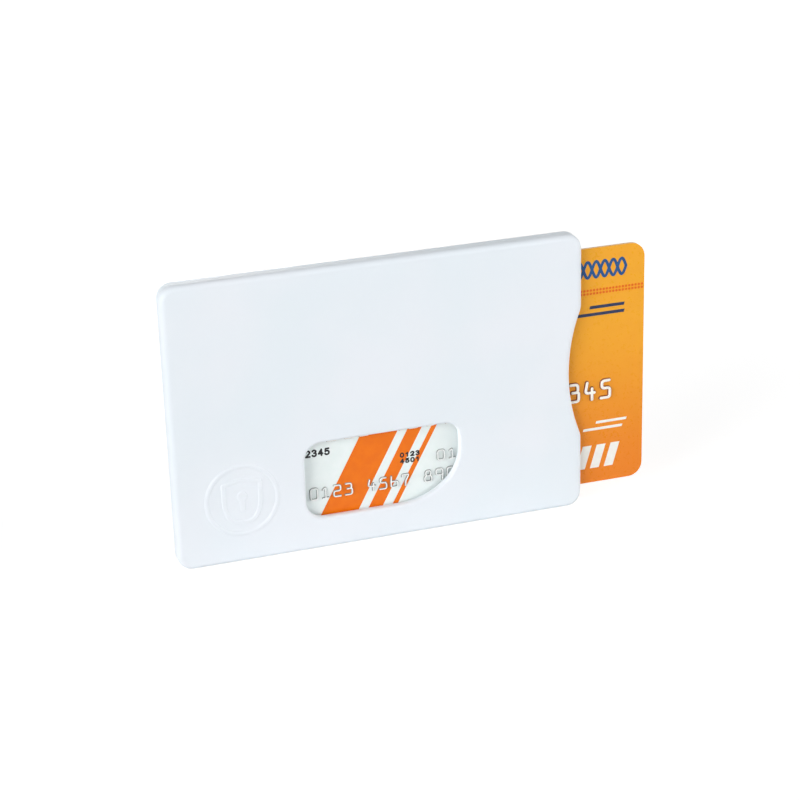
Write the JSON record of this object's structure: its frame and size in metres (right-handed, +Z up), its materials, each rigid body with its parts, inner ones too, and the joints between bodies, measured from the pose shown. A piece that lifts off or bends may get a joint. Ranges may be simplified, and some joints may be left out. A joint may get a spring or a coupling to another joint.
{
  "type": "rfid card sleeve",
  "caption": "Slim rigid card sleeve of joined half shells with a thumb window, a thumb notch across its mouth and foil-lined walls; a chip card slides in it and stands partly out.",
  "frame": {"origin": "middle of the sleeve's lower long edge, on the parting plane between the half shells", "axes": "+X along the sleeve from its closed end to its mouth, -Y out of the front face with the window, +Y out of the flat rear face, +Z up the sleeve's short side; the sleeve stands on its lower edge as pictured"},
  "size_m": [0.1055, 0.0047, 0.0622],
  "materials": {
    "shell": "smooth white moulding",
    "foil": "thin rolled foil",
    "card": "printed and laminated",
    "contacts": "gold-plated contacts",
    "stripe": "magnetic coating",
    "panel": "paper-like writing surface"
  },
  "bodies": {
    "sleeve": {"front_shell": "shell", "rear_shell": "shell", "front_shield": "foil", "rear_shield": "foil"},
    "card": {"card_body": "card", "chip_module": "contacts", "magnetic_stripe": "stripe", "signature_panel": "panel"}
  },
  "joints": [
    {"name": "card_slide", "type": "slide", "parent": "sleeve", "child": "card", "axis": [1, 0, 0], "range_m": [-0.0174, 0.075]}
  ]
}
